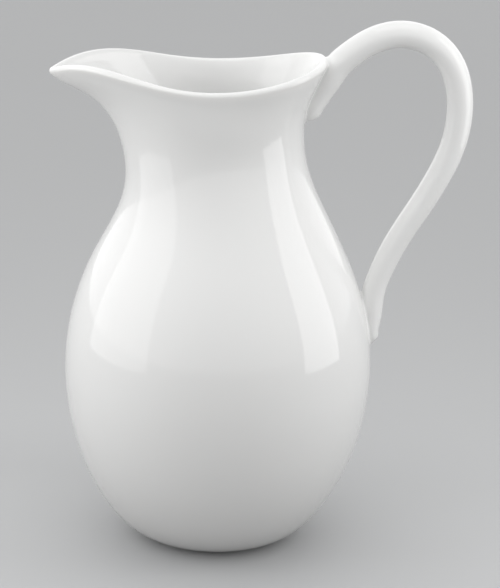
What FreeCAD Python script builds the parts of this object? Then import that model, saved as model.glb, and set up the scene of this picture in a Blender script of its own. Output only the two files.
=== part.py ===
import FreeCAD, Part
import math
import os

# White glazed porcelain pitcher, one fired piece, in millimetres.
# +Z is up, the foot stands on z = 0, the spout points to -X and the handle is at +X.
# The wall is one skin: up the outside, over the rounded lip and down the inside.

# ---- body: a turned shape up to the neck ------------------------------------------
FOOT_RADIUS = 27.0         # outside of the ring it stands on
BELLY_RADIUS = 71.8        # widest radius of the outside
BELLY_HEIGHT = 92.0        # height of that widest ring
NECK_RADIUS = 38.0         # radius of the narrowest ring, on the handle side
NECK_SPOUT_RADIUS = 46.0   # radius of the same ring on the spout side
NECK_HEIGHT = 186.0        # height of that ring
# shapes of the outside: (share of the height, share of the change in radius)
FOOT_TO_BELLY = [(0.0, 0.0), (0.033, 0.235), (0.098, 0.416), (0.217, 0.610),
                 (0.435, 0.834), (0.717, 0.978), (1.0, 1.0)]
BELLY_TO_NECK = [(0.255, 0.125), (0.489, 0.379), (0.723, 0.704)]

# ---- mouth: the outer edge of the lip ----------------------------------------------
MOUTH_CENTRE_X = -1.0      # middle of the round part of the mouth
MOUTH_HALF_LENGTH = 47.5   # half length of that round part, along X
MOUTH_HALF_WIDTH = 42.5    # half width of the mouth, along Y
MOUTH_FULLNESS = 0.15      # how full its curve is beside the widest place
SPOUT_REACH = 31.2         # how far the spout is pulled out beyond the round part
SPOUT_PULL = 2.0           # sharpness of that pull
SPOUT_PINCH = 0.6          # share by which the spout is narrowed at its tip
SPOUT_PINCH_POWER = 6.0    # sharpness of the narrowing
SIDE_RISE = 27.5           # lip height above the neck ring, before the next three
HANDLE_RISE = 15.5         # extra height on the handle side
SPOUT_RISE = 36.0          # extra height on the spout side
SPOUT_RISE_POWER = 3.55    # how late that height comes in
SPOUT_DROOP = 28.8         # how far the very tip bends down again
SPOUT_DROOP_POWER = 8.0    # how late the droop comes in
# two throat rings between neck and lip: shares (side, spout, handle) of the way
THROAT_OUT = [(0.20, 0.44, 0.01), (0.49, 0.86, 0.43)]
THROAT_UP = [(0.43, 0.71, 0.53), (0.78, 0.91, 0.75)]

# ---- wall, floor and foot ------------------------------------------------------------
WALL = 3.7                 # thickness of the wall, and so of the rounded lip
FLOOR_HEIGHT = 5.0         # top of the floor inside
FLOOR_RADIUS = 20.0        # flat middle of the floor inside
FLOOR_CURVE = [(0.5, 0.22), (0.2, 0.03)]   # (share out, share up) from there to the wall
FOOT_RING_WIDTH = 4.0      # flat ring the pitcher stands on
FOOT_RECESS = 1.2          # height of the hollow inside that ring
FOOT_RECESS_TAPER = 1.0    # how much narrower the top of the hollow is

# ---- handle -----------------------------------------------------------------------
HANDLE_REACH = 57.9        # furthest reach of its middle line out from its two ends
HANDLE_THICKNESS = 12.4    # at the lip, in the plane of the loop
HANDLE_LOW_THICKNESS = 10.9    # at the belly
HANDLE_DEPTH = 13.2        # at the lip, across the loop
HANDLE_LOW_DEPTH = 11.6    # at the belly
INSIDE_COVER = 2.1         # wall left between the buried side of a foot and the inside
LOWER_FOOT_RISE = 30.3     # the handle leaves the belly this far above the widest ring
# middle line of the loop: (share of the way from lip to belly, share of the reach)
LOOP = [(-0.022, 0.179), (-0.072, 0.393), (-0.077, 0.626), (-0.030, 0.817),
        (0.065, 0.953), (0.187, 0.998), (0.317, 0.968), (0.442, 0.878),
        (0.559, 0.737), (0.671, 0.569), (0.789, 0.379), (0.914, 0.214)]
LIP_SECTION_TILT = -33.0   # tilt of the section where it leaves the lip, in degrees
# each foot, measured down the wall from the lip or from where it leaves the belly
UPPER_FOOT_DROPS = (5.5, 20.5)         # where it is full, and where its nose begins
UPPER_FOOT_STAND_OFF = (9.9, 7.3)      # how far it stands off the wall at those places
LOWER_FOOT_DROPS = (8.0, 20.1)
LOWER_FOOT_STAND_OFF = (9.3, 4.8)
NOSE_LENGTH = 6.6          # rounded end of each foot
NOSE_DEPTH = 11.4          # depth of a foot where its nose begins

# ---- fineness of the skins -----------------------------------------------------------
AROUND = 64                # samples round the wall
SPOUT_CROWD = 0.3          # how strongly those samples gather at the spout
LIP_STEPS = 6              # steps over the rounded lip
HANDLE_AROUND = 24         # samples round the handle
FOOT_STEPS = 3             # steps down each foot
NOSE_STEPS = 4             # steps round each nose


class Curve3:
    """Natural cubic spline through 3-D points at given parameters."""

    def __init__(self, knots, points):
        self.knots = knots
        self.axes = [[p[k] for p in points] for k in range(3)]
        self.bends = [self._bends(values) for values in self.axes]

    def _bends(self, values):
        """Second derivatives at the knots, nought at both ends."""
        x, n = self.knots, len(values)
        upper, right = [0.0] * n, [0.0] * n
        for i in range(1, n - 1):
            a, b = x[i] - x[i - 1], x[i + 1] - x[i]
            slope = (values[i + 1] - values[i]) / b - (values[i] - values[i - 1]) / a
            pivot = 2.0 * (a + b) - a * upper[i - 1]
            upper[i] = b / pivot
            right[i] = (6.0 * slope - a * right[i - 1]) / pivot
        bends = [0.0] * n
        for i in range(n - 2, 0, -1):
            bends[i] = right[i] - upper[i] * bends[i + 1]
        return bends

    def at(self, s):
        """The point and its derivative at s."""
        x = self.knots
        i = 0
        while i < len(x) - 2 and s > x[i + 1]:
            i += 1
        h = x[i + 1] - x[i]
        a, b = (x[i + 1] - s) / h, (s - x[i]) / h
        point, slope = [], []
        for values, bends in zip(self.axes, self.bends):
            point.append(a * values[i] + b * values[i + 1]
                         + ((a ** 3 - a) * bends[i] + (b ** 3 - b) * bends[i + 1]) * h * h / 6.0)
            slope.append((values[i + 1] - values[i]) / h
                         + ((3 * b * b - 1) * bends[i + 1] - (3 * a * a - 1) * bends[i]) * h / 6.0)
        return FreeCAD.Vector(*point), FreeCAD.Vector(*slope)


def mix(trio, spout, handle):
    """A value that is trio[0] at the sides, trio[1] at the spout and trio[2] at the handle."""
    side, at_spout, at_handle = trio
    return side + (at_spout - side) * spout ** 2 + (at_handle - side) * handle ** 2


def lip_edge(t):
    """Outer edge of the lip at angle t: an oval pulled and pinched into a spout."""
    spout, handle = (1 - math.cos(t)) / 2, (1 + math.cos(t)) / 2
    x = MOUTH_CENTRE_X + MOUTH_HALF_LENGTH * math.cos(t) - SPOUT_REACH * spout ** SPOUT_PULL
    fullness = (1 - MOUTH_FULLNESS * math.sin(t) ** 2) / (1 - MOUTH_FULLNESS)
    y = (MOUTH_HALF_WIDTH * math.sin(t) * fullness
         * (1 - SPOUT_PINCH * spout ** SPOUT_PINCH_POWER))
    z = (NECK_HEIGHT + SIDE_RISE + HANDLE_RISE * handle ** 2
         + SPOUT_RISE * spout ** SPOUT_RISE_POWER - SPOUT_DROOP * spout ** SPOUT_DROOP_POWER)
    return (x, y, z)


def turned_rings():
    """(height, radius) of the round rings, from the foot to just below the neck."""
    widen = BELLY_RADIUS - FOOT_RADIUS
    narrow = BELLY_RADIUS - NECK_RADIUS
    rings = [(BELLY_HEIGHT * up, FOOT_RADIUS + widen * out) for up, out in FOOT_TO_BELLY]
    rings += [(BELLY_HEIGHT + (NECK_HEIGHT - BELLY_HEIGHT) * up, BELLY_RADIUS - narrow * inward)
              for up, inward in BELLY_TO_NECK]
    return rings


def outline(t):
    """The points of the rings, foot to lip, that lie at angle t."""
    spout, handle = (1 - math.cos(t)) / 2, (1 + math.cos(t)) / 2
    points = [(radius * math.cos(t), radius * math.sin(t), height)
              for height, radius in turned_rings()]
    neck_radius = NECK_RADIUS + (NECK_SPOUT_RADIUS - NECK_RADIUS) * spout ** 2
    neck = (neck_radius * math.cos(t), neck_radius * math.sin(t), NECK_HEIGHT)
    lip = lip_edge(t)
    points.append(neck)
    for out, up in zip(THROAT_OUT, THROAT_UP):
        a, b = mix(out, spout, handle), mix(up, spout, handle)
        points.append((neck[0] + a * (lip[0] - neck[0]), neck[1] + a * (lip[1] - neck[1]),
                       neck[2] + b * (lip[2] - neck[2])))
    points.append(lip)
    return points


def ring_stations():
    """One parameter per ring: the mean chord length at the handle, a side and the spout."""
    outlines = [outline(t) for t in (0.0, math.pi / 2, math.pi)]
    stations = [0.0]
    for i in range(1, len(outlines[0])):
        step = sum(math.dist(o[i], o[i - 1]) for o in outlines) / 3.0
        stations.append(stations[-1] + step)
    return stations


STATIONS = ring_stations()


class Column:
    """The outside of the wall at one angle, with its outward normals."""

    STEP = 1e-4

    def __init__(self, t):
        self.here = Curve3(STATIONS, outline(t))
        self.before = Curve3(STATIONS, outline(t - self.STEP))
        self.after = Curve3(STATIONS, outline(t + self.STEP))

    def at(self, s):
        point, along = self.here.at(s)
        around = self.after.at(s)[0] - self.before.at(s)[0]
        normal = around.cross(along)
        normal.normalize()
        return point, normal, along

    def at_height(self, z):
        """Point and normal of the outside at height z, below the lip."""
        low, high = STATIONS[1], STATIONS[-1]
        for _ in range(50):
            middle = (low + high) / 2
            if self.here.at(middle)[0].z < z:
                low = middle
            else:
                high = middle
        return self.at(low)[:2]


def halfway(i):
    """The parameter halfway between ring i and the next."""
    return (STATIONS[i] + STATIONS[i + 1]) / 2


def wall_section(t):
    """The whole closed-up section of the wall at angle t, from the foot to the floor."""
    column = Column(t)
    top = len(STATIONS) - 1
    rising = STATIONS[:2]
    for i in range(2, top):
        rising += [STATIONS[i], halfway(i)]
    points = [column.at(s)[0] for s in rising]
    edge, normal, along = column.at(STATIONS[top])
    climb = along - normal * along.dot(normal)
    climb.normalize()
    radius = WALL / 2
    for step in range(LIP_STEPS + 1):
        a = math.pi * step / LIP_STEPS
        points.append(edge - normal * radius
                      + normal * (radius * math.cos(a)) + climb * (radius * math.sin(a)))
    falling = [halfway(top - 1)]
    for i in range(top - 1, 2, -1):
        falling += [STATIONS[i], halfway(i - 1)]
    for s in falling:
        point, normal, _ = column.at(s)
        points.append(point - normal * WALL)
    last = points[-1]
    reach = math.hypot(last.x, last.y) - FLOOR_RADIUS
    for out, up in FLOOR_CURVE + [(0.0, 0.0)]:
        radius = FLOOR_RADIUS + reach * out
        points.append(FreeCAD.Vector(radius * math.cos(t), radius * math.sin(t),
                                     FLOOR_HEIGHT + (last.z - FLOOR_HEIGHT) * up))
    return points


def closed_poles(samples):
    """Poles of the even, closed cubic curve that passes through the samples."""
    n = len(samples)
    poles = [FreeCAD.Vector(p) for p in samples]
    for _ in range(60):
        poles = [poles[i] + (samples[i] - (poles[i - 1] + poles[i] * 4 + poles[(i + 1) % n])
                             * (1 / 6.0)) for i in range(n)]
    return poles[-1:] + poles[:-1]


def skin(sections):
    """A smooth skin through sections (one list of points per angle, closed round)."""
    count, n = len(sections), len(sections[0])
    stations = [0.0]
    for i in range(1, n):
        step = sum(math.dist(s[i], s[i - 1]) for s in sections) / count
        stations.append(stations[-1] + step)
    columns = []
    for section in sections:
        curve = Part.BSplineCurve()
        curve.interpolate(Points=section, PeriodicFlag=False, Parameters=stations)
        columns.append(curve.getPoles())
    rows = [closed_poles([column[j] for column in columns]) for j in range(len(columns[0]))]
    poles = [[rows[j][i] for j in range(len(rows))] for i in range(count)]
    surface = Part.BSplineSurface()
    surface.buildFromPolesMultsKnots(poles, [1] * (count + 1), curve.getMultiplicities(),
                                     [float(i) for i in range(count + 1)], curve.getKnots(),
                                     True, False, 3, 3)
    return surface, stations


def patches(surface, around, along):
    """The skin cut into faces at the given parameters."""
    faces = []
    for u0, u1 in zip(around, around[1:]):
        for v0, v1 in zip(along, along[1:]):
            piece = surface.copy()
            piece.segment(u0, u1, v0, v1)
            faces.append(piece.toShape())
    return faces


def outward(shape):
    """The solid with its faces turned outward."""
    if shape.Volume < 0:
        shape.reverse()
    return shape


def make_wall():
    """The hollow body with its lip, floor and foot."""
    sections = []
    for i in range(AROUND):
        a = math.pi * 0.75 + 2 * math.pi * i / AROUND
        sections.append(wall_section(a + SPOUT_CROWD * math.sin(a)))
    surface, stations = skin(sections)
    lip = 2 * len(STATIONS) - 4
    quarters = [AROUND * k / 4 for k in range(5)]
    bands = [stations[0], stations[lip], stations[lip + LIP_STEPS], stations[-1]]
    faces = patches(surface, quarters, bands)
    for height in (0.0, FLOOR_HEIGHT):
        rim = [e for f in faces for e in f.Edges
               if abs(e.BoundBox.ZMin - height) < 0.01 and abs(e.BoundBox.ZMax - height) < 0.01]
        faces.append(Part.Face(Part.Wire(Part.__sortEdges__(rim))))
    shell = Part.makeShell(faces)
    shell.sewShape()
    body = outward(Part.makeSolid(shell))
    mouth = FOOT_RADIUS - FOOT_RING_WIDTH
    below = FOOT_RECESS        # the cutter starts as far below the foot as it goes in
    hollow = Part.makeCone(mouth + FOOT_RECESS_TAPER, mouth - FOOT_RECESS_TAPER,
                           below + FOOT_RECESS, FreeCAD.Vector(0, 0, -below))
    return body.cut(hollow)


def between(pair, share):
    """The value a share of the way from the first of a pair to the second."""
    return pair[0] + (pair[1] - pair[0]) * share


def foot_section(column, z, stand_off, depth, swell=1.0):
    """A handle section on the wall: its outer point, its buried point and its half depth."""
    point, normal = column.at_height(z)
    bury = WALL - INSIDE_COVER
    buried = point - normal * bury
    return buried + normal * ((stand_off + bury) * swell), buried, depth / 2 * swell


def foot_sections(column, top, drops, stand_offs, depth):
    """A foot down the wall below height top, from its full end to the tip of its nose."""
    sections = []
    for step in range(FOOT_STEPS):
        share = step / FOOT_STEPS
        sections.append(foot_section(column, top - between(drops, share),
                                     between(stand_offs, share),
                                     between((depth, NOSE_DEPTH), share)))
    for step in range(NOSE_STEPS, -1, -1):
        a = math.pi / 2 * step / NOSE_STEPS
        z = top - drops[1] - NOSE_LENGTH * math.cos(a)
        sections.append(foot_section(column, z, stand_offs[1], NOSE_DEPTH, math.sin(a)))
    return sections


def handle_sections():
    """Every section of the handle: (outer point, inner point, half depth) along the loop."""
    column = Column(0.0)
    lip, normal, _ = column.at(STATIONS[-1])
    leaves = column.at_height(BELLY_HEIGHT + LOWER_FOOT_RISE)[0]
    upper = foot_sections(column, lip.z, UPPER_FOOT_DROPS, UPPER_FOOT_STAND_OFF, HANDLE_DEPTH)
    lower = foot_sections(column, leaves.z, LOWER_FOOT_DROPS, LOWER_FOOT_STAND_OFF,
                          HANDLE_LOW_DEPTH)
    sections = [(buried, outer, half) for outer, buried, half in reversed(upper)]
    core = lip - normal * (WALL / 2)
    tilt = math.radians(LIP_SECTION_TILT)
    across = FreeCAD.Vector(math.cos(tilt), 0, math.sin(tilt))
    sections.append((core, core + across * HANDLE_THICKNESS, HANDLE_DEPTH / 2))

    line = leaves - lip
    out = FreeCAD.Vector(-line.z, 0, line.x)
    out.normalize()
    middle = [lip + line * share + out * (HANDLE_REACH * reach) for share, reach in LOOP]
    ends = [(outer + inner) * 0.5 for outer, inner, _ in (sections[-1], lower[0])]
    path = [ends[0]] + middle + [ends[1]]
    for i, (share, _) in enumerate(LOOP):
        heading = path[i + 2] - path[i]
        side = FreeCAD.Vector(-heading.z, 0, heading.x)
        side.normalize()
        share = max(share, 0.0)
        half_thick = side * (between((HANDLE_THICKNESS, HANDLE_LOW_THICKNESS), share) / 2)
        sections.append((middle[i] + half_thick, middle[i] - half_thick,
                         between((HANDLE_DEPTH, HANDLE_LOW_DEPTH), share) / 2))
    return sections + lower


def make_handle():
    """The solid handle: an oval section carried over the loop, round-ended at both feet."""
    rails = []
    sections = handle_sections()
    for i in range(HANDLE_AROUND):
        a = 2 * math.pi * (i + 0.5) / HANDLE_AROUND
        rails.append([(outer + inner) * 0.5 + (outer - inner) * (0.5 * math.cos(a))
                      + FreeCAD.Vector(0, half * math.sin(a), 0)
                      for outer, inner, half in sections])
    surface, stations = skin(rails)
    halves = [0.0, HANDLE_AROUND / 2, float(HANDLE_AROUND)]
    shell = Part.makeShell(patches(surface, halves, [stations[0], stations[-1]]))
    shell.sewShape()
    return outward(Part.makeSolid(shell))


def make_pitcher():
    """Wall and handle fired together into one solid."""
    return make_wall().fuse(make_handle()).removeSplitter().Solids[0]


os.makedirs("parts", exist_ok=True)
make_pitcher().exportStep("parts/pitcher.step")
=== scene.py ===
"""Looks of the white glazed porcelain pitcher, in metres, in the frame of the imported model."""

import logging
import math
from collections.abc import Callable
from dataclasses import dataclass, field
from enum import Enum
from functools import cached_property

import bpy
import numpy as np
from mathutils import Matrix, Vector


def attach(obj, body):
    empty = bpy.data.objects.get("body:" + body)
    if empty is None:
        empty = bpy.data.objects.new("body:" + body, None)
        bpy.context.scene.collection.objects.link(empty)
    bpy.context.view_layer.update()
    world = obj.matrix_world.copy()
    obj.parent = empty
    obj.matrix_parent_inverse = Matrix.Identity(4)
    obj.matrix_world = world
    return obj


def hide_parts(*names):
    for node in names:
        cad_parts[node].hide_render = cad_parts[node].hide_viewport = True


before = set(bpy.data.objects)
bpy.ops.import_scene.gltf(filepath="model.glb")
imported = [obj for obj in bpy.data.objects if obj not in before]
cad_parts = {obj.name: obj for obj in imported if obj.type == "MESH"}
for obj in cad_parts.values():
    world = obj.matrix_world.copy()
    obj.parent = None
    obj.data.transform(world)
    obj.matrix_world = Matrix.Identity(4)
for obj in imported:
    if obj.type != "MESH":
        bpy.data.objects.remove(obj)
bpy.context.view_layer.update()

LOG = logging.getLogger("pitcher")
FULL_TURN = 2.0 * math.pi
# numbers of a Mix node's colour sockets
MIX_SHARE, MIX_ONE, MIX_TWO, MIX_RESULT = 0, 6, 7, 2


# ---- numbers that are worked out ----

def unit(vectors: np.ndarray) -> np.ndarray:
    """Each vector divided by its own length."""
    return vectors / np.linalg.norm(vectors, axis=-1, keepdims=True)


def dot(one: np.ndarray, two: np.ndarray) -> np.ndarray:
    """Scalar products along the last axis."""
    return np.sum(one * two, axis=-1)


def laid_flat(ways: np.ndarray, normals: np.ndarray) -> np.ndarray:
    """Unit directions of ways, each laid in the plane square to its unit normal."""
    return unit(ways - normals * dot(ways, normals)[:, None])


def between(ends: tuple, share: np.ndarray) -> np.ndarray:
    """Values a share of the way from the first end to the second."""
    return ends[0] + (ends[1] - ends[0]) * share


def level(t: np.ndarray, radii: np.ndarray, heights: np.ndarray | float) -> np.ndarray:
    """Points at the angles t round the axis, at radii and heights that may differ by row."""
    return np.stack(np.broadcast_arrays(radii * np.cos(t), radii * np.sin(t), heights), -1)


def chord_stations(points: np.ndarray) -> np.ndarray:
    """Running mean length of the steps from row to row.

    Args:
        points: array (rows, columns, 3).

    Returns:
        One station per row: the sum so far of the steps' lengths, averaged over the columns.
    """
    steps = np.linalg.norm(np.diff(points, axis=0), axis=-1).mean(axis=1)
    return np.concatenate(([0.0], np.cumsum(steps)))


def plane_steps(by_u: np.ndarray, by_v: np.ndarray,
                way: np.ndarray) -> tuple[np.ndarray, np.ndarray]:
    """Steps in u and v that together come nearest to a way, by least squares.

    Args:
        by_u: change of place for each unit of u, (n, 3).
        by_v: change of place for each unit of v, (n, 3).
        way: the ways to go, (n, 3).
    """
    uu, vv, uv = dot(by_u, by_u), dot(by_v, by_v), dot(by_u, by_v)
    wu, wv = dot(way, by_u), dot(way, by_v)
    det = uu * vv - uv * uv
    return (wu * vv - wv * uv) / det, (wv * uu - wu * uv) / det


def halved(low: np.ndarray, high: np.ndarray, on_low_side: Callable, times: int) -> np.ndarray:
    """Low ends of brackets after a number of halvings.

    Args:
        low: low ends of the brackets.
        high: their high ends.
        on_low_side: says for each value whether the place sought lies above it.
        times: number of halvings.
    """
    for _ in range(times):
        half = (low + high) / 2
        rise = on_low_side(half)
        low, high = np.where(rise, half, low), np.where(rise, high, half)
    return low


def new_object(name: str, data: bpy.types.ID) -> bpy.types.Object:
    """A new object, linked to the scene."""
    thing = bpy.data.objects.new(name, data)
    bpy.context.scene.collection.objects.link(thing)
    return thing


class NaturalSpline:
    """Cubic spline with no bend at its two ends, written as matrices.

    With knots x and step h, a value between two knots is a*y0 + b*y1 plus
    ((a^3 - a)*m0 + (b^3 - b)*m1) * h^2 / 6, where a and b are the shares of the step and
    the bends m are one fixed matrix times the values. So each value is a weighted sum.
    """

    def __init__(self, knots: np.ndarray) -> None:
        """Works out the matrix that turns values into bends.

        Args:
            knots: rising parameters of the values.
        """
        self.knots = np.asarray(knots, float)
        count, h = len(self.knots), np.diff(self.knots)
        left, right = np.eye(count), np.zeros((count, count))
        i = np.arange(1, count - 1)
        left[i, i - 1], left[i, i], left[i, i + 1] = h[:-1], 2.0 * (h[:-1] + h[1:]), h[1:]
        right[i, i - 1], right[i, i + 1] = 6.0 / h[:-1], 6.0 / h[1:]
        right[i, i] = -6.0 / h[:-1] - 6.0 / h[1:]
        self.bender = np.linalg.solve(left, right)

    def _cell(self, s: np.ndarray) -> tuple[np.ndarray, np.ndarray, np.ndarray, np.ndarray]:
        """Cell number, step, and shares a and b of each parameter."""
        i = np.clip(np.searchsorted(self.knots, s, side="right") - 1, 0, len(self.knots) - 2)
        h = self.knots[i + 1] - self.knots[i]
        b = (s - self.knots[i]) / h
        return i, h, 1.0 - b, b

    def weights(self, s: np.ndarray) -> np.ndarray:
        """Weights of the knots' values in the value at each s: array (len(s), knots)."""
        i, h, a, b = self._cell(s)
        w = (((a ** 3 - a) * h * h / 6.0)[:, None] * self.bender[i]
             + ((b ** 3 - b) * h * h / 6.0)[:, None] * self.bender[i + 1])
        rows = np.arange(len(s))
        w[rows, i] += a
        w[rows, i + 1] += b
        return w

    def slopes(self, s: np.ndarray) -> np.ndarray:
        """Weights of the knots' values in the slope at each s: array (len(s), knots)."""
        i, h, a, b = self._cell(s)
        w = (((3 * b * b - 1) * h / 6.0)[:, None] * self.bender[i + 1]
             - ((3 * a * a - 1) * h / 6.0)[:, None] * self.bender[i])
        rows = np.arange(len(s))
        w[rows, i] -= 1.0 / h
        w[rows, i + 1] += 1.0 / h
        return w


@dataclass
class Skin:
    """A piece of mesh: vertices, faces as quads or triangles, and a finish number per face."""

    points: np.ndarray
    quads: np.ndarray
    triangles: np.ndarray = field(default_factory=lambda: np.zeros((0, 3), int))
    quad_finish: np.ndarray | int = 0

    @staticmethod
    def grid(rows: int, columns: int, closed_rows: bool = False) -> np.ndarray:
        """Quads of a grid whose columns close up into a ring.

        Args:
            rows: number of rows of vertices.
            columns: number of vertices in each row.
            closed_rows: whether the last row joins the first one too.

        Returns:
            Vertex numbers, four per face, that face to the left of rising rows.
        """
        r = np.arange(rows if closed_rows else rows - 1)[:, None]
        c = np.arange(columns)[None, :]
        up, on = (r + 1) % rows, (c + 1) % columns
        quads = np.stack((r * columns + c, r * columns + on, up * columns + on, up * columns + c),
                         axis=-1)
        return quads.reshape(-1, 4)

    @staticmethod
    def caps(rows: int, columns: int) -> np.ndarray:
        """Triangles that close a grid's two ends to the two vertices that follow it."""
        c = np.arange(columns)
        on, end, last = (c + 1) % columns, rows * columns, (rows - 1) * columns
        return np.concatenate((np.stack((np.full(columns, end), on, c), -1),
                               np.stack((last + c, last + on, np.full(columns, end + 1)), -1)))


# ---- the wall ----

@dataclass(frozen=True)
class Wall:
    """The hollow body: a turned foot, belly and shoulder that open into a pulled mouth.

    A point of the outside belongs to an angle t round the axis (nought at the handle, half a
    turn at the spout) and a station s up the wall.
    """

    foot_radius: float = 0.0270
    belly_radius: float = 0.0718
    belly_height: float = 0.0920
    neck_radius: float = 0.0380
    neck_spout_radius: float = 0.0460
    neck_height: float = 0.1860
    foot_to_belly: tuple = ((0.0, 0.0), (0.033, 0.235), (0.098, 0.416), (0.217, 0.610),
                            (0.435, 0.834), (0.717, 0.978), (1.0, 1.0))
    belly_to_neck: tuple = ((0.255, 0.125), (0.489, 0.379), (0.723, 0.704))
    mouth_centre: float = -0.0010
    mouth_half_length: float = 0.0475
    mouth_half_width: float = 0.0425
    mouth_fullness: float = 0.15
    spout_reach: float = 0.0312
    spout_pull: float = 2.0
    spout_pinch: float = 0.6
    spout_pinch_power: float = 6.0
    side_rise: float = 0.0275
    handle_rise: float = 0.0155
    spout_rise: float = 0.0360
    spout_rise_power: float = 3.55
    spout_droop: float = 0.0288
    spout_droop_power: float = 8.0
    throat_out: tuple = ((0.20, 0.44, 0.01), (0.49, 0.86, 0.43))
    throat_up: tuple = ((0.43, 0.71, 0.53), (0.78, 0.91, 0.75))
    thickness: float = 0.0037
    floor_height: float = 0.0050
    floor_radius: float = 0.0200
    floor_curve: tuple = ((0.5, 0.22), (0.2, 0.03), (0.0, 0.0))
    ring_width: float = 0.0040
    ring_round: float = 0.0005
    recess_height: float = 0.0012
    recess_taper: float = 0.0010
    recess_shares: tuple = (0.4, 0.8)
    ring_shares: tuple = (0.25, 0.5, 0.75, 0.92)
    plate_shares: tuple = (0.66, 0.33)
    spout_crowd: float = 0.3
    lip_steps: int = 6
    round_steps: int = 4
    columns: int = 232
    rows_outside: int = 118
    rows_lip: int = 16
    rows_inside: int = 88
    rows_floor: int = 16
    angle_step: float = 1e-4
    length_step: float = 1e-6
    ladder: int = 200
    halvings: int = 40
    nearing_steps: int = 12

    @cached_property
    def turned(self) -> tuple[np.ndarray, np.ndarray]:
        """Heights and radii of the round rings, foot to just below the neck."""
        low, high = np.array(self.foot_to_belly), np.array(self.belly_to_neck)
        heights = np.concatenate((
            self.belly_height * low[:, 0],
            between((self.belly_height, self.neck_height), high[:, 0])))
        radii = np.concatenate((
            between((self.foot_radius, self.belly_radius), low[:, 1]),
            between((self.belly_radius, self.neck_radius), high[:, 1])))
        return heights, radii

    def lip_edge(self, t: np.ndarray) -> np.ndarray:
        """Outer edge of the lip: an oval, pulled and pinched into a spout, raised at both ends.

        x is centre + length * cos t - reach * spout^pull; y is width * sin t, made fuller beside
        the widest place and narrowed by spout^pinch_power; z adds a rise at the handle and at the
        spout and lets the very tip droop. spout is (1 - cos t)/2 and handle is (1 + cos t)/2.
        """
        spout, handle = (1 - np.cos(t)) / 2, (1 + np.cos(t)) / 2
        x = (self.mouth_centre + self.mouth_half_length * np.cos(t)
             - self.spout_reach * spout ** self.spout_pull)
        fullness = (1 - self.mouth_fullness * np.sin(t) ** 2) / (1 - self.mouth_fullness)
        y = (self.mouth_half_width * np.sin(t) * fullness
             * (1 - self.spout_pinch * spout ** self.spout_pinch_power))
        z = (self.neck_height + self.side_rise + self.handle_rise * handle ** 2
             + self.spout_rise * spout ** self.spout_rise_power
             - self.spout_droop * spout ** self.spout_droop_power)
        return np.stack((x, y, z), axis=-1)

    def rings(self, t: np.ndarray) -> np.ndarray:
        """The points of all rings at the angles t: array (rings, len(t), 3).

        The turned rings are circles. The neck is a circle that grows towards the spout. Each
        throat ring lies a share out and a share up from neck to lip; the shares are mixed from
        their values at the sides, the spout and the handle with spout^2 and handle^2.
        """
        spout, handle = (1 - np.cos(t)) / 2, (1 + np.cos(t)) / 2
        heights, radii = self.turned
        low = level(t, radii[:, None], heights[:, None])
        neck = level(t, between((self.neck_radius, self.neck_spout_radius), spout ** 2),
                     self.neck_height)
        lip = self.lip_edge(t)
        throat = np.array((self.throat_out, self.throat_up))
        side, at_spout, at_handle = np.moveaxis(throat, -1, 0)
        shares = (side[..., None] + (at_spout - side)[..., None] * spout ** 2
                  + (at_handle - side)[..., None] * handle ** 2)
        ways = np.stack((shares[0], shares[0], shares[1]), axis=-1)
        throat = neck[None] + ways * (lip - neck)[None]
        return np.concatenate((low, neck[None], throat, lip[None]))

    @cached_property
    def spline(self) -> NaturalSpline:
        """Spline up the wall, with one station per ring."""
        return NaturalSpline(chord_stations(self.rings(np.array((0.0, math.pi / 2, math.pi)))))

    @property
    def top(self) -> float:
        """Station of the lip's outer edge."""
        return float(self.spline.knots[-1])

    def outside(self, t: np.ndarray, s: np.ndarray,
                sums: str = "kn,njc->kjc") -> tuple[np.ndarray, np.ndarray, np.ndarray]:
        """Points, outward normals and upward slopes on a grid of stations s by angles t.

        The normal is the change of place round the wall crossed with the change up it.
        """
        weights, here = self.spline.weights(s), self.rings(t)
        around = self.rings(t + self.angle_step) - self.rings(t - self.angle_step)
        along = np.einsum(sums, self.spline.slopes(s), here)
        return (np.einsum(sums, weights, here),
                unit(np.cross(np.einsum(sums, weights, around), along)), along)

    def one_by_one(self, t: np.ndarray, s: np.ndarray) -> tuple[np.ndarray, np.ndarray]:
        """Points and outward normals at pairs of angle and station."""
        return self.outside(t, s, "jn,njc->jc")[:2]

    def middle(self, t: np.ndarray, s: np.ndarray) -> np.ndarray:
        """Points half a thickness under the outside, at pairs of angle and station."""
        points, normals = self.one_by_one(t, s)
        return points - normals * (self.thickness / 2)

    def at_height(self, z: np.ndarray) -> tuple[np.ndarray, np.ndarray]:
        """Points and normals of the outside under the handle, at heights z, by halving."""
        angle = np.zeros_like(z)
        s = halved(np.full_like(z, self.spline.knots[1]), np.full_like(z, self.top),
                   lambda half: self.one_by_one(angle, half)[0][:, 2] < z, self.halvings)
        return self.one_by_one(angle, s)

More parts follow.
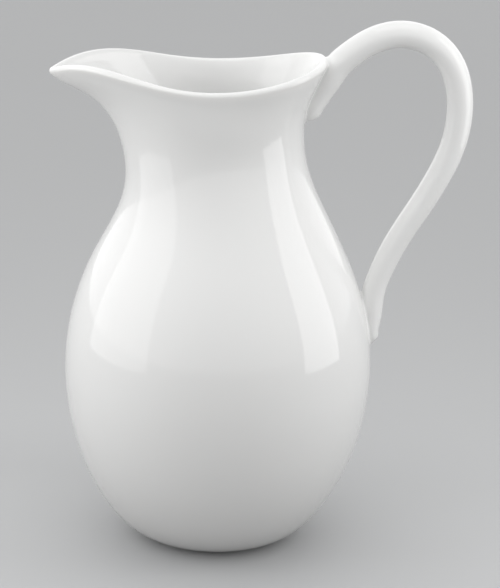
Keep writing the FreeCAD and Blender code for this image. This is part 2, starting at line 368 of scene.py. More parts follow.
    def height_over(self, points: np.ndarray) -> tuple[np.ndarray, np.ndarray]:
        """Signed distance from the wall, lip included, and the direction away from it.

        The nearest point of the wall's middle sheet is found by least squares steps in t and s,
        with s held at the lip where it would pass it. The distance is the one to that point less
        half a thickness, so the lip counts as the half-round it is.

        Args:
            points: array (n, 3).

        Returns:
            Distances (n,) and unit directions (n, 3).
        """
        t = np.arctan2(points[:, 1], points[:, 0])
        ladder = np.linspace(0.0, self.top, self.ladder)
        heights = self.one_by_one(np.zeros_like(ladder), ladder)[0][:, 2]
        s = np.interp(points[:, 2], heights, ladder)
        for _ in range(self.nearing_steps):
            here = self.middle(t, s)
            by_t = (self.middle(t + self.angle_step, s) - here) / self.angle_step
            back = s - self.length_step
            by_s = (here - self.middle(t, back)) / self.length_step
            step_t, step_s = plane_steps(by_t, by_s, points - here)
            held = s + step_s >= self.top
            t = t + np.where(held, dot(points - here, by_t) / dot(by_t, by_t), step_t)
            s = np.clip(np.where(held, self.top, s + step_s), self.spline.knots[1], self.top)
        away = points - self.middle(t, s)
        return np.linalg.norm(away, axis=1) - self.thickness / 2, unit(away)

    def section(self, t: np.ndarray) -> tuple[np.ndarray, int]:
        """Guide points of the closed-up section at each angle, from the foot to the floor.

        Up the outside at the rings and halfway between them, over the lip on a half circle about
        the middle of the wall, and down the inside one thickness under the outside; the floor is
        reached by shares out and up.

        Returns:
            Array (guides, len(t), 3), and the number of the guide where the lip starts.
        """
        knots = self.spline.knots
        halves = (knots[:-1] + knots[1:]) / 2
        rising = np.concatenate((knots[:2], np.stack((knots[2:-1], halves[2:]), -1).ravel()))
        outer = self.outside(t, rising)[0]
        edge, normal, along = (a[0] for a in self.outside(t, knots[-1:]))
        climb = laid_flat(along, normal)
        radius = self.thickness / 2
        a = np.linspace(0.0, math.pi, self.lip_steps + 1)[:, None, None]
        lip = edge + radius * (normal * (np.cos(a) - 1.0) + climb * np.sin(a))
        falling = np.concatenate((halves[-1:],
                                  np.stack((knots[-2:2:-1], halves[-2:1:-1]), -1).ravel()))
        point, normal, _ = self.outside(t, falling)
        inner = point - normal * self.thickness
        last = inner[-1]
        reach = np.linalg.norm(last[:, :2], axis=1) - self.floor_radius
        shares = np.array(self.floor_curve)
        radius = self.floor_radius + shares[:, :1] * reach
        height = self.floor_height + shares[:, 1:] * (last[:, 2] - self.floor_height)
        return np.concatenate((outer, lip, inner, level(t, radius, height))), len(rising)

    def underside(self) -> np.ndarray:
        """Radius and height of the profile under the foot, from the recess out to the wall.

        The recess is flat, falls down a slightly sloped side, and turns into the flat ring over
        two small quarter rounds.
        """
        mouth = self.foot_radius - self.ring_width
        r, quarter = self.ring_round, np.linspace(0.0, math.pi / 2, self.round_steps + 1)
        top = mouth - self.recess_taper
        inner = [(top - r + r * np.sin(a), self.recess_height - r + r * np.cos(a))
                 for a in quarter]
        outer = [(mouth + r - r * np.cos(a), r - r * np.sin(a)) for a in quarter]
        return np.array([(top * k, self.recess_height) for k in self.recess_shares]
                        + inner + outer
                        + [(mouth + self.ring_width * k, 0.0) for k in self.ring_shares])

    def angles(self) -> np.ndarray:
        """Angles of the columns, closer together at the spout."""
        a = np.arange(self.columns) * (FULL_TURN / self.columns)
        return a + self.spout_crowd * np.sin(a)

    def skin(self) -> Skin:
        """The whole closed skin of the wall, from the recess under it to the middle of its floor.

        Rows of the section come from a spline through its guides, closer together over the lip.
        """
        t = self.angles()
        guides, lip = self.section(t)
        spline = NaturalSpline(chord_stations(guides))
        knots = spline.knots
        over, floor = lip + self.lip_steps, len(knots) - len(self.floor_curve) - 1
        s = np.concatenate((
            np.linspace(knots[0], knots[lip], self.rows_outside, endpoint=False),
            np.linspace(knots[lip], knots[over], self.rows_lip, endpoint=False),
            np.linspace(knots[over], knots[floor], self.rows_inside, endpoint=False),
            np.linspace(knots[floor], knots[-1], self.rows_floor)))
        section = np.einsum("kn,njc->kjc", spline.weights(s), guides)
        profile = self.underside()
        plate = section[-1][None] * np.array(self.plate_shares)[:, None, None]
        plate[..., 2] = self.floor_height
        rows = np.concatenate((level(t, profile[:, :1], profile[:, 1:]), section, plate))
        poles = np.array(((0.0, 0.0, self.recess_height), (0.0, 0.0, self.floor_height)))
        finish = np.zeros((len(rows) - 1, len(t)), int)
        finish[len(profile) - len(self.ring_shares) - 1:len(profile)] = Finish.BARE.value
        return Skin(np.concatenate((rows.reshape(-1, 3), poles)), Skin.grid(len(rows), len(t)),
                    Skin.caps(len(rows), len(t)), finish.ravel())


# ---- the handle ----

@dataclass(frozen=True)
class Handle:
    """The ear-shaped handle: an oval section carried over a loop, with a foot at each end."""

    wall: Wall
    reach: float = 0.0579
    thickness: tuple = (0.0124, 0.0109)
    depth: tuple = (0.0132, 0.0116)
    inside_cover: float = 0.0021
    lower_foot_rise: float = 0.0303
    loop: tuple = ((-0.022, 0.179), (-0.072, 0.393), (-0.077, 0.626), (-0.030, 0.817),
                   (0.065, 0.953), (0.187, 0.998), (0.317, 0.968), (0.442, 0.878),
                   (0.559, 0.737), (0.671, 0.569), (0.789, 0.379), (0.914, 0.214))
    lip_tilt: float = -33.0
    upper_drops: tuple = (0.0055, 0.0205)
    upper_stand_off: tuple = (0.0099, 0.0073)
    lower_drops: tuple = (0.0080, 0.0201)
    lower_stand_off: tuple = (0.0093, 0.0048)
    nose_length: float = 0.0066
    nose_depth: float = 0.0114
    foot_steps: int = 3
    nose_steps: int = 4
    rails: int = 24
    around: int = 64
    along: int = 230
    crowd: float = 0.0225

    def _foot(self, top: float, drops: tuple, stand_off: tuple,
              depth: float) -> tuple[np.ndarray, np.ndarray, np.ndarray]:
        """Sections of one foot down the wall: outer points, buried points and half depths.

        The height over the wall and the depth shrink evenly to where the nose begins, and the
        nose shrinks as a quarter circle.
        """
        share = np.arange(self.foot_steps) / self.foot_steps
        turn = np.linspace(math.pi / 2, 0.0, self.nose_steps + 1)
        z = np.concatenate((top - between(drops, share),
                            top - drops[1] - self.nose_length * np.cos(turn)))
        stand = np.concatenate((between(stand_off, share), np.full_like(turn, stand_off[1])))
        deep = np.concatenate((between((depth, self.nose_depth), share),
                               np.full_like(turn, self.nose_depth)))
        swell = np.concatenate((np.ones_like(share), np.sin(turn)))
        point, normal = self.wall.at_height(z)
        bury = self.wall.thickness - self.inside_cover
        buried = point - normal * bury
        return buried + normal * ((stand + bury) * swell)[:, None], buried, deep / 2 * swell

    @cached_property
    def sections(self) -> tuple[np.ndarray, np.ndarray, np.ndarray]:
        """Outer points, inner points and half depths of all sections, from tip to tip."""
        edge, normal = (a[0] for a in self.wall.one_by_one(np.zeros(1),
                                                           np.array((self.wall.top,))))
        leave = self.wall.at_height(
            np.array((self.wall.belly_height + self.lower_foot_rise,)))[0][0]
        upper = self._foot(edge[2], self.upper_drops, self.upper_stand_off, self.depth[0])
        lower = self._foot(leave[2], self.lower_drops, self.lower_stand_off, self.depth[1])
        core = edge - normal * (self.wall.thickness / 2)
        tilt = math.radians(self.lip_tilt)
        across = core + np.array((math.cos(tilt), 0.0, math.sin(tilt))) * self.thickness[0]

        line = leave - edge
        out = unit(np.array((-line[2], 0.0, line[0])))
        shares, reaches = np.array(self.loop).T
        middle = edge + line * shares[:, None] + out * (self.reach * reaches)[:, None]
        path = np.concatenate((((core + across) / 2)[None], middle,
                               ((lower[0][0] + lower[1][0]) / 2)[None]))
        heading = path[2:] - path[:-2]
        side = unit(np.stack((-heading[:, 2], np.zeros(len(middle)), heading[:, 0]), -1))
        share = np.maximum(shares, 0.0)
        thick, deep = between(self.thickness, share), between(self.depth, share)
        outer = np.concatenate((upper[1][::-1], core[None],
                                middle + side * (thick / 2)[:, None], lower[0]))
        inner = np.concatenate((upper[0][::-1], across[None],
                                middle - side * (thick / 2)[:, None], lower[1]))
        half = np.concatenate((upper[2][::-1], (self.depth[0] / 2,), deep / 2, lower[2]))
        return outer, inner, half

    @cached_property
    def guides(self) -> np.ndarray:
        """Centre, half chord and half depth vector of every section: array (sections, 3, 3)."""
        outer, inner, half = self.sections
        zero = np.zeros_like(half)
        return np.stack(((outer + inner) / 2, (outer - inner) / 2,
                         np.stack((zero, half, zero), -1)), axis=1)

    @cached_property
    def spline(self) -> NaturalSpline:
        """Spline along the handle, with one station per section."""
        a = (np.arange(self.rails) + 0.5) * (FULL_TURN / self.rails)
        centre, chord, depth = np.moveaxis(self.guides[:, :, None, :], 1, 0)
        rails = centre + chord * np.cos(a)[:, None] + depth * np.sin(a)[:, None]
        return NaturalSpline(chord_stations(rails))

    def at(self, s: np.ndarray, a: np.ndarray) -> tuple[np.ndarray, ...]:
        """Points at pairs of station and angle round the section, and their two derivatives.

        A point is the centre plus the half chord times cos a plus the half depth times sin a.

        Returns:
            Points, derivatives by s and derivatives by a, each (n, 3).
        """
        (centre, chord, depth), (d_centre, d_chord, d_depth) = (
            np.einsum("jn,nkc->kjc", sums, self.guides)
            for sums in (self.spline.weights(s), self.spline.slopes(s)))
        cos, sin = np.cos(a)[:, None], np.sin(a)[:, None]
        return (centre + chord * cos + depth * sin, d_centre + d_chord * cos + d_depth * sin,
                depth * cos - chord * sin)

    def normal(self, s: np.ndarray, a: np.ndarray) -> np.ndarray:
        """Outward normals at pairs of station and angle."""
        _, by_s, by_a = self.at(s, a)
        return unit(np.cross(by_s, by_a))

    def skin(self) -> Skin:
        """The closed skin of the handle, with one vertex at each buried tip."""
        even = np.linspace(0.0, 1.0, self.along + 2)[1:-1]
        s = self.spline.knots[-1] * (even - self.crowd * np.sin(FULL_TURN * 2 * even))
        a = np.arange(self.around) * (FULL_TURN / self.around)
        grid_s, grid_a = np.meshgrid(s, a, indexing="ij")
        rows = self.at(grid_s.ravel(), grid_a.ravel())[0]
        tips = self.guides[[0, -1], 0]
        return Skin(np.concatenate((rows, tips)), Skin.grid(self.along, self.around),
                    Skin.caps(self.along, self.around))


# ---- where they join ----

@dataclass(frozen=True)
class Joint:
    """The fillet of slip and glaze that rounds the corner between the wall and a handle foot."""

    wall: Wall
    handle: Handle
    upper: bool
    wall_width: float = 0.0026
    handle_width: float = 0.0021
    depth: float = 0.0007
    around: int = 144
    steps: int = 13
    starts: tuple = (0.35, 0.6)
    ladder: int = 70
    halvings: int = 14

    def _stations(self, a: np.ndarray) -> np.ndarray:
        """Stations at which the rails at these angles go into the wall.

        Each rail of the handle is followed from the free part of the loop to its end. The first
        place under the wall's skin is found on a coarse ladder and then by halving.
        """
        whole = self.handle.spline.knots[-1]
        free, end = ((self.starts[0] * whole, 0.0) if self.upper
                     else (self.starts[1] * whole, whole))
        ladder = free + (end - free) * np.linspace(0.0, 1.0, self.ladder)
        grid_s, grid_a = np.meshgrid(ladder, a, indexing="ij")
        points = self.handle.at(grid_s.ravel(), grid_a.ravel())[0]
        under = self.wall.height_over(points)[0].reshape(grid_s.shape) < 0
        first = np.argmax(under, axis=0)
        return halved(ladder[first - 1], ladder[first],
                      lambda half: self.wall.height_over(self.handle.at(half, a)[0])[0] >= 0,
                      self.halvings)

    @cached_property
    def line(self) -> tuple[np.ndarray, np.ndarray, np.ndarray]:
        """Stations and angles on the handle, and the points, evenly spaced along the joint."""
        a = (np.arange(self.around + 1) + 0.5) * (FULL_TURN / self.around)
        points = self.handle.at(self._stations(a), a)[0]
        run = np.cumsum(np.linalg.norm(np.diff(points, axis=0), axis=1))
        even = np.arange(self.around) * (run[-1] / self.around)
        a = np.interp(even, np.concatenate(((0.0,), run)), a)
        s = self._stations(a)
        return s, a, self.handle.at(s, a)[0]

    def skin(self) -> Skin:
        """A closed bead whose face is a smooth curve from the wall to the handle.

        Across the joint line the curve starts on the wall and ends on the handle, each a width
        away from the line, and touches both. It is a cubic whose two inner points lie on the
        tangents at (4/3) tan(turn/4) tan(opening/2) widths. The bead's back lies in the solid.
        """
        s, a, line = self.line
        wall_normal = self.wall.height_over(line)[1]
        own_normal = self.handle.normal(s, a)
        out, rise = laid_flat(own_normal, wall_normal), laid_flat(wall_normal, own_normal)

        low = line + out * self.wall_width
        gap, low_normal = self.wall.height_over(low)
        low = low - low_normal * gap[:, None]
        low_way = laid_flat(out, low_normal)

        step_s, step_a = plane_steps(*self.handle.at(s, a)[1:], rise * self.handle_width)
        high_s, high_a = s + step_s, a + step_a
        high = self.handle.at(high_s, high_a)[0]
        high_normal = self.handle.normal(high_s, high_a)
        high_way = laid_flat(rise, high_normal)

        opening = np.arccos(np.clip(dot(low_way, high_way), -1.0, 1.0))
        pull = (4 / 3 * np.tan((math.pi - opening) / 4) * np.tan(opening / 2))[:, None]
        controls = (low, low - low_way * pull * self.wall_width,
                    high - high_way * pull * self.handle_width, high)
        u = np.linspace(0.0, 1.0, self.steps)[:, None, None]
        face = ((1 - u) ** 3 * controls[0] + 3 * u * (1 - u) ** 2 * controls[1]
                + 3 * u * u * (1 - u) * controls[2] + u ** 3 * controls[3])
        back = np.stack((high - high_normal * self.depth,
                         line - unit(wall_normal + own_normal) * self.depth,
                         low - low_normal * self.depth))
        rows = np.concatenate((face, back))
        # the rows turn from wall to handle; the columns run along the joint line
        quads = Skin.grid(len(rows), self.around, closed_rows=True)
        first = face[0]
        on = np.roll(first, -1, axis=0) - first
        facing = np.cross(on, face[1] - first)
        if dot(facing, wall_normal).mean() < 0:
            quads = quads[:, ::-1]
        return Skin(rows.reshape(-1, 3), quads)


# ---- finishes ----

class Finish(Enum):
    """Finishes of the pitcher's faces, with their material numbers."""

    GLAZE = 0
    BARE = 1


class Nodes:
    """Small helper that places and joins shader nodes."""

    def __init__(self, tree: bpy.types.NodeTree) -> None:
        """Keeps the tree that the nodes go into."""
        self.tree = tree

    def add(self, kind: str, **settings: object) -> bpy.types.Node:
        """A new node with its properties set.

        Args:
            kind: the node's type name.
            settings: property values by name.
        """
        node = self.tree.nodes.new(kind)
        for name, value in settings.items():
            setattr(node, name, value)
        return node

    def join(self, source: bpy.types.NodeSocket, target: bpy.types.NodeSocket) -> None:
        """Joins an output to an input."""
        self.tree.links.new(source, target)

    def feed(self, node: bpy.types.Node, values: dict[int, object]) -> None:
        """Joins a socket, or writes a value, to each of a node's numbered inputs."""
        for place, value in values.items():
            if isinstance(value, bpy.types.NodeSocket):
                self.join(value, node.inputs[place])
            else:
                node.inputs[place].default_value = value

    def math(self, operation: str, one: object, two: object) -> bpy.types.NodeSocket:
        """Result of a calculation on two sockets or numbers."""
        node = self.add("ShaderNodeMath", operation=operation)
        self.feed(node, {0: one, 1: two})
        return node.outputs[0]

    def mix(self, share: object, one: object, two: object) -> bpy.types.NodeSocket:
        """Colour that lies a share of the way between two colours; all three may be sockets."""
        node = self.add("ShaderNodeMix", data_type="RGBA")
        self.feed(node, {MIX_SHARE: share, MIX_ONE: one, MIX_TWO: two})
        return node.outputs[MIX_RESULT]


class Effects:
    """Node groups that several materials share."""

    fine_scale = 6.0
    fine_share = 0.3
    mottle_detail = 3.0
    ripple_details = (1.0, 2.0)

    def __init__(self) -> None:
        """Builds both groups once."""
        self.mottle = self._mottle()
        self.ripple = self._ripple()

    @staticmethod
    def _group(name: str, inputs: dict[str, tuple[str, object]],
               outputs: dict[str, str]) -> tuple[Nodes, bpy.types.Node, bpy.types.Node]:
        """A new node group with its sockets.

        Args:
            name: name of the group.
            inputs: socket type and default by socket name.
            outputs: socket type by socket name.

        Returns:
            The helper for its nodes, its input node and its output node.
        """
        tree = bpy.data.node_groups.new(name, "ShaderNodeTree")
        for label, (kind, default) in inputs.items():
            tree.interface.new_socket(label, in_out="INPUT",
                                      socket_type=kind).default_value = default
        for label, kind in outputs.items():
            tree.interface.new_socket(label, in_out="OUTPUT", socket_type=kind)
        nodes = Nodes(tree)
        return nodes, nodes.add("NodeGroupInput"), nodes.add("NodeGroupOutput")

    def _mottle(self) -> bpy.types.NodeTree:
        """Slow drift of a colour towards a second one: two sizes of noise, added."""
        nodes, enter, leave = self._group(
            "soft mottle",
            {"Colour": ("NodeSocketColor", (0.8, 0.8, 0.8, 1)),
             "Drift": ("NodeSocketColor", (0.7, 0.7, 0.7, 1)),
             "Size": ("NodeSocketFloat", 0.02), "Amount": ("NodeSocketFloat", 0.5)},
            {"Colour": "NodeSocketColor"})
        place = nodes.add("ShaderNodeTexCoord").outputs["Object"]
        broad = nodes.add("ShaderNodeTexNoise")
        fine = nodes.add("ShaderNodeTexNoise")
        scale = nodes.math("DIVIDE", 1.0, enter.outputs["Size"])
        for noise, factor in ((broad, 1.0), (fine, self.fine_scale)):
            nodes.join(place, noise.inputs["Vector"])
            nodes.join(nodes.math("MULTIPLY", scale, factor), noise.inputs["Scale"])
            noise.inputs["Detail"].default_value = self.mottle_detail
        both = nodes.math("ADD",
                          nodes.math("MULTIPLY", broad.outputs["Fac"], 1.0 - self.fine_share),
                          nodes.math("MULTIPLY", fine.outputs["Fac"], self.fine_share))
        share = nodes.math("MULTIPLY", both, enter.outputs["Amount"])
        colour = nodes.mix(share, enter.outputs["Colour"], enter.outputs["Drift"])
        nodes.join(colour, leave.inputs["Colour"])
        return nodes.tree

    def _ripple(self) -> bpy.types.NodeTree:
        """Uneven height in metres: long waves plus a finer grain, each with its own depth."""
        nodes, enter, leave = self._group(
            "surface ripple",
            {"Wave size": ("NodeSocketFloat", 0.01), "Wave depth": ("NodeSocketFloat", 1e-5),
             "Grain size": ("NodeSocketFloat", 0.001), "Grain depth": ("NodeSocketFloat", 1e-6)},
            {"Height": "NodeSocketFloat"})
        place = nodes.add("ShaderNodeTexCoord").outputs["Object"]
        parts = []
        for label, detail in zip(("Wave", "Grain"), self.ripple_details):
            noise = nodes.add("ShaderNodeTexNoise")
            nodes.join(place, noise.inputs["Vector"])
            nodes.join(nodes.math("DIVIDE", 1.0, enter.outputs[label + " size"]),
                       noise.inputs["Scale"])
            noise.inputs["Detail"].default_value = detail
            parts.append(nodes.math("MULTIPLY", noise.outputs["Fac"],
                                    enter.outputs[label + " depth"]))
        nodes.join(nodes.math("ADD", *parts), leave.inputs["Height"])
        return nodes.tree


def shader(name: str) -> tuple[bpy.types.Material, Nodes, bpy.types.Node]:
    """A new material with a Principled shader.

    Args:
        name: name of the material.

    Returns:
        The material, the helper for its nodes and its shader node.
    """
    material = bpy.data.materials.new(name)
    material.use_nodes = True
    nodes = Nodes(material.node_tree)
    return material, nodes, material.node_tree.nodes["Principled BSDF"]


def place_group(nodes: Nodes, tree: bpy.types.NodeTree, **values: object) -> bpy.types.Node:
    """Places a node group in a material with its own values; _ in a name stands for a space."""
    node = nodes.add("ShaderNodeGroup", node_tree=tree)
    for label, value in values.items():
        node.inputs[label.replace("_", " ")].default_value = value
    return node


@dataclass(frozen=True)
class Fired:
    """What all fired surfaces share: a drifting colour, a roughness and a slight unevenness."""

    colour: tuple
    drift: tuple
    drift_size: float
    drift_amount: float
    roughness: float
    wave_size: float
    wave_depth: float
    grain_size: float
    grain_depth: float

    def start(self, name: str, effects: Effects) -> tuple:
        """A new material with roughness and unevenness, and its colour not yet joined.

        Args:
            name: name of the material.
            effects: the shared node groups.

        Returns:
            The material, the helper for its nodes, its shader node and its colour.
        """
        material, nodes, shade = shader(name)
        mottle = place_group(nodes, effects.mottle, Colour=self.colour, Drift=self.drift,
                             Size=self.drift_size, Amount=self.drift_amount)
        shade.inputs["Roughness"].default_value = self.roughness
        ripple = place_group(nodes, effects.ripple, Wave_size=self.wave_size,
                             Wave_depth=self.wave_depth, Grain_size=self.grain_size,
                             Grain_depth=self.grain_depth)
        bump = nodes.add("ShaderNodeBump")
        bump.inputs["Strength"].default_value = 1.0
        bump.inputs["Distance"].default_value = 1.0
        nodes.join(ripple.outputs["Height"], bump.inputs["Height"])
        nodes.join(bump.outputs["Normal"], shade.inputs["Normal"])
        return material, nodes, shade, mottle.outputs["Colour"]


@dataclass(frozen=True)
class Glaze(Fired):
    """Clear high-gloss glaze over white porcelain, thin on the lip, with painted shade greying
    the creases at the handle's joints.
    """

    colour: tuple = (0.860, 0.860, 0.852, 1)
    drift: tuple = (0.835, 0.838, 0.832, 1)
    drift_size: float = 0.035
    drift_amount: float = 0.5
    roughness: float = 0.07
    wave_size: float = 0.014
    wave_depth: float = 6e-6
    grain_size: float = 0.0016
    grain_depth: float = 2.5e-7
    ior: float = 1.5
    # grey tint and strength of the painted shade along the joints of handle and wall
    joint_shade_colour: tuple = (0.66, 0.68, 0.68, 1)
    joint_shade_amount: float = 0.12
    thin_colour: tuple = (0.88, 0.872, 0.855, 1)
    thin_amount: float = 0.6

    def build(self, effects: Effects) -> bpy.types.Material:
        """Material of all glazed faces."""
        material, nodes, shade, colour = self.start("porcelain glaze", effects)
        # the first mix is painted shade: a grey tint near the joints of handle and wall, where
        # shade falls in the crease; the second lightens and warms the lip crest where the glaze
        # runs thin
        for name, tint, amount in (("joint_shade", self.joint_shade_colour, self.joint_shade_amount),
                                   ("thin", self.thin_colour, self.thin_amount)):
            where = nodes.add("ShaderNodeAttribute", attribute_name=name)
            colour = nodes.mix(nodes.math("MULTIPLY", where.outputs["Fac"], amount),
                               colour, tint)
        nodes.join(colour, shade.inputs["Base Color"])
        shade.inputs["IOR"].default_value = self.ior
        return material


@dataclass(frozen=True)
class BareClay(Fired):
    """Dry fired clay of the ring that the pitcher stands on, where the glaze was wiped off."""

    colour: tuple = (0.80, 0.785, 0.755, 1)
    drift: tuple = (0.66, 0.63, 0.58, 1)
    drift_size: float = 0.004
    drift_amount: float = 0.6
    roughness: float = 0.82
    wave_size: float = 0.003
    wave_depth: float = 1e-5
    grain_size: float = 0.0003
    grain_depth: float = 8e-6

    def build(self, effects: Effects) -> bpy.types.Material:
        """Material of the standing ring."""
        material, nodes, shade, colour = self.start("bare clay", effects)
        nodes.join(colour, shade.inputs["Base Color"])
        return material


# ---- the pitcher ----

@dataclass
class Pitcher:
    """The fired piece: wall, handle and the two joints as one mesh."""

    wall: Wall
    handle: Handle
    # how far the painted shade along the handle's joints spreads
    joint_shade_spread: float = 0.0016
    thin_spread: float = 0.0012
    crease: float = math.radians(50)
    crest_points: int = 400
    batches: int = 12

    def build(self, effects: Effects) -> None:
        """Makes the object, dresses it and ties it to the frame."""
        joints = [Joint(self.wall, self.handle, upper=upper) for upper in (True, False)]
        skins = [self.wall.skin(), self.handle.skin()] + [j.skin() for j in joints]
        lines = np.concatenate([j.line[2] for j in joints])
        points = np.concatenate([k.points for k in skins])
        starts = np.cumsum([0] + [len(k.points) for k in skins[:-1]])
        quads = np.concatenate([k.quads + o for k, o in zip(skins, starts)])
        triangles = np.concatenate([k.triangles + o for k, o in zip(skins, starts)])
        finish = np.concatenate([np.broadcast_to(k.quad_finish, len(k.quads)) for k in skins]
                                + [np.zeros(len(triangles), int)])
        mesh = self._mesh("pitcher_porcelain", points, quads, triangles)
        mesh.polygons.foreach_set("material_index", finish)
        # painted shade: a grey tint that fades with distance from the joint lines of handle and
        # wall
        self._attribute(mesh, "joint_shade", self._near(points, lines, self.joint_shade_spread))
        crest = self.wall.lip_edge(np.linspace(0.0, FULL_TURN, self.crest_points,
                                               endpoint=False))
        self._attribute(mesh, "thin", self._near(points, crest, self.thin_spread))
        mesh.update()
        piece = new_object("pitcher_porcelain", mesh)
        for finish_kind in (Glaze(), BareClay()):
            mesh.materials.append(finish_kind.build(effects))
        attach(piece, "root")
        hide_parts("pitcher")
        LOG.info("%s: %d vertices, %d faces", piece.name, len(points), len(mesh.polygons))

    def _mesh(self, name: str, points: np.ndarray, quads: np.ndarray,
              triangles: np.ndarray) -> bpy.types.Mesh:
        """A smooth mesh with creases where faces turn sharply.

        Args:
            name: name of the mesh.
            points: vertices (n, 3).
            quads: four vertex numbers per face.
            triangles: three vertex numbers per face.
        """
        mesh = bpy.data.meshes.new(name)
        corners = np.concatenate((quads.ravel(), triangles.ravel())).astype(np.int32)
        sizes = np.concatenate((np.full(len(quads), 4), np.full(len(triangles), 3)))
        mesh.vertices.add(len(points))
        mesh.vertices.foreach_set("co", points.astype(np.float32).ravel())
        mesh.loops.add(len(corners))
        mesh.loops.foreach_set("vertex_index", corners)
        mesh.polygons.add(len(sizes))
        mesh.polygons.foreach_set("loop_start", np.concatenate(([0], np.cumsum(sizes)[:-1]))
                                  .astype(np.int32))
        mesh.update(calc_edges=True)
        mesh.validate()
        mesh.polygons.foreach_set("use_smooth", np.ones(len(sizes), bool))
        mesh.set_sharp_from_angle(angle=self.crease)
        return mesh

    def _near(self, points: np.ndarray, line: np.ndarray, spread: float) -> np.ndarray:
        """One on a line of points and falling off as exp(-(distance/spread)^2)."""
        best = np.full(len(points), np.inf)
        for part in np.array_split(line, self.batches):
            square = ((points ** 2).sum(1)[:, None] + (part ** 2).sum(1)[None]
                      - 2.0 * points @ part.T)
            best = np.minimum(best, square.min(axis=1))
        return np.exp(-np.maximum(best, 0.0) / spread ** 2)

    @staticmethod
    def _attribute(mesh: bpy.types.Mesh, name: str, values: np.ndarray) -> None:
        """Writes one number per vertex."""
        mesh.attributes.new(name, "FLOAT", "POINT").data.foreach_set(
            "value", values.astype(np.float32))


# ---- the studio ----

@dataclass(frozen=True)
class Softbox:
    """A rectangular lamp, upright, that faces the pitcher."""

    name: str
    centre: tuple
    width: float
    height: float
    radiance: float
    aim: tuple

    def build(self) -> None:
        """Makes the lamp; its power is radiance times pi times its area."""
        lamp = bpy.data.lights.new(self.name, "AREA")
        lamp.shape = "RECTANGLE"
        lamp.size, lamp.size_y = self.width, self.height
        lamp.energy = self.radiance * math.pi * self.width * self.height
        thing = new_object(self.name, lamp)
        place = Vector(self.centre)
        thing.location = place
        thing.rotation_mode = "QUATERNION"
        thing.rotation_quaternion = (Vector(self.aim) - place).to_track_quat("-Z", "Y")
        thing.visible_camera = False


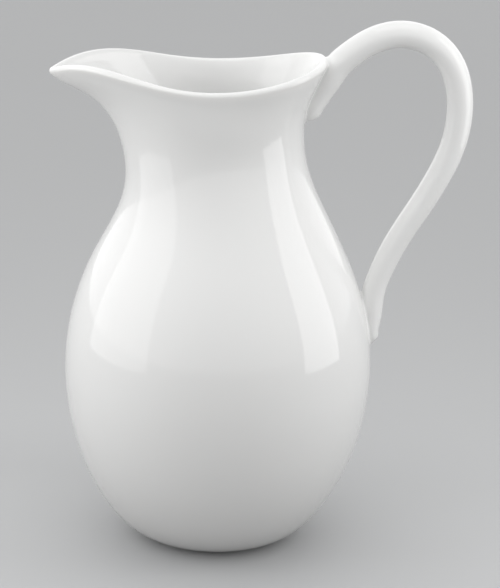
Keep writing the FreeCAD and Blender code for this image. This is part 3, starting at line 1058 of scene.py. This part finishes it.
@dataclass(frozen=True)
class Studio:
    """Pale floor, soft surrounding light and the lamps."""

    floor_radius: float = 9.0
    floor_rings: int = 24
    floor_sides: int = 96
    floor_ring_start: float = 0.05
    floor_drift: float = 0.97
    floor_drift_size: float = 0.4
    floor_drift_amount: float = 0.6
    floor_roughness: float = 0.7
    floor_specular: float = 0.2
    floor_colour: tuple = (0.50, 0.505, 0.51, 1)
    floor_bounce: tuple = (0.24, 0.24, 0.24, 1)
    sky_level: float = 0.40
    sky_glows: tuple = (((0.0, -1.0, 0.0), 0.62), ((0.0, 1.0, 0.0), 0.92),
                        ((-1.0, 0.0, 0.0), 0.44), ((1.0, 0.0, 0.0), 0.08))
    lamps: tuple = (
        Softbox("softbox_left", (-0.37, -0.12, 0.31), 0.40, 0.50, 1.08, (0.0, -0.12, 0.31)),
        Softbox("softbox_right", (0.37, -0.08, 0.31), 0.22, 0.50, 1.9, (0.0, -0.08, 0.31)),
        Softbox("softbox_top", (0.05, -0.10, 1.00), 0.60, 0.50, 1.0, (0.05, 0.0, 0.2)),
    )

    def build(self, effects: Effects) -> None:
        """Makes the floor, the world and the lamps."""
        self._floor(effects)
        self._world()
        for lamp in self.lamps:
            lamp.build()

    def _floor(self, effects: Effects) -> None:
        """A round floor: rings of a disc in the plane that the pitcher stands on."""
        rings, n = self.floor_rings, self.floor_sides
        radii = np.geomspace(self.floor_ring_start, self.floor_radius, rings)[:, None]
        rows = level(np.arange(n) * (FULL_TURN / n), radii, 0.0).reshape(-1, 3)
        faces = Skin.grid(rings, n).tolist() + Skin.caps(rings, n)[:n].tolist()
        mesh = bpy.data.meshes.new("studio_floor")
        mesh.from_pydata(np.concatenate((rows, np.zeros((1, 3)))).tolist(), [],
                         [face[::-1] for face in faces])
        material, nodes, shade = shader("studio floor paper")
        mottle = place_group(nodes, effects.mottle, Colour=self.floor_colour,
                             Drift=tuple(np.multiply(self.floor_colour, self.floor_drift)),
                             Size=self.floor_drift_size, Amount=self.floor_drift_amount)
        path = nodes.add("ShaderNodeLightPath")
        colour = nodes.mix(path.outputs["Is Diffuse Ray"], mottle.outputs["Colour"],
                           self.floor_bounce)
        nodes.join(colour, shade.inputs["Base Color"])
        shade.inputs["Roughness"].default_value = self.floor_roughness
        shade.inputs["Specular IOR Level"].default_value = self.floor_specular
        mesh.materials.append(material)
        floor = new_object("studio_floor", mesh)

    def _world(self) -> None:
        """Soft light from all round; camera rays see the floor's pale grey instead.

        The brightness in a direction is the level plus, for each glow, its strength times the
        cosine between that direction and the glow's own, where that is above nought.
        """
        world = bpy.data.worlds.new("studio")
        bpy.context.scene.world = world
        world.use_nodes = True
        nodes = Nodes(world.node_tree)
        light = world.node_tree.nodes["Background"]
        place = nodes.add("ShaderNodeTexCoord").outputs["Generated"]
        total: object = self.sky_level
        for way, strength in self.sky_glows:
            cosine = nodes.add("ShaderNodeVectorMath", operation="DOT_PRODUCT")
            nodes.join(place, cosine.inputs[0])
            cosine.inputs[1].default_value = Vector(way).normalized()
            lit = nodes.math("MULTIPLY", nodes.math("MAXIMUM", cosine.outputs["Value"], 0.0),
                             strength)
            total = nodes.math("ADD", lit, total)
        light.inputs["Color"].default_value = (1, 1, 1, 1)
        nodes.join(total, light.inputs["Strength"])
        shown = nodes.add("ShaderNodeBackground")
        shown.inputs["Color"].default_value = self.floor_colour
        path, mix = nodes.add("ShaderNodeLightPath"), nodes.add("ShaderNodeMixShader")
        nodes.join(path.outputs["Is Camera Ray"], mix.inputs["Fac"])
        nodes.join(light.outputs[0], mix.inputs[1])
        nodes.join(shown.outputs[0], mix.inputs[2])
        nodes.join(mix.outputs[0], world.node_tree.nodes["World Output"].inputs["Surface"])


@dataclass(frozen=True)
class Camera:
    """A long lens that looks a little down on the pitcher, rolled by a degree or two."""

    aim: tuple = (0.01428, 0.0, 0.11840)
    distance: float = 1.080
    elevation: float = 16.8
    roll: float = 1.71
    lens: float = 140.8
    sensor: float = 36.0

    def build(self) -> None:
        """Makes the camera, tilted about X and then rolled, and hands it to the scene."""
        turn = (Matrix.Rotation(math.radians(90.0 - self.elevation), 4, "X")
                @ Matrix.Rotation(math.radians(self.roll), 4, "Z"))
        back = turn.to_3x3() @ Vector((0.0, 0.0, self.distance))
        data = bpy.data.cameras.new("camera")
        data.lens, data.sensor_width = self.lens, self.sensor
        thing = new_object("camera", data)
        thing.matrix_world = Matrix.Translation(Vector(self.aim) + back) @ turn
        bpy.context.scene.camera = thing


def main() -> None:
    """Builds the pitcher, the studio and the camera."""
    logging.basicConfig(level=logging.INFO, format="%(name)s: %(message)s")
    bpy.context.scene.view_settings.view_transform = "Standard"
    effects = Effects()
    wall = Wall()
    Pitcher(wall, Handle(wall)).build(effects)
    Studio().build(effects)
    Camera().build()


if __name__ == "__main__":
    main()
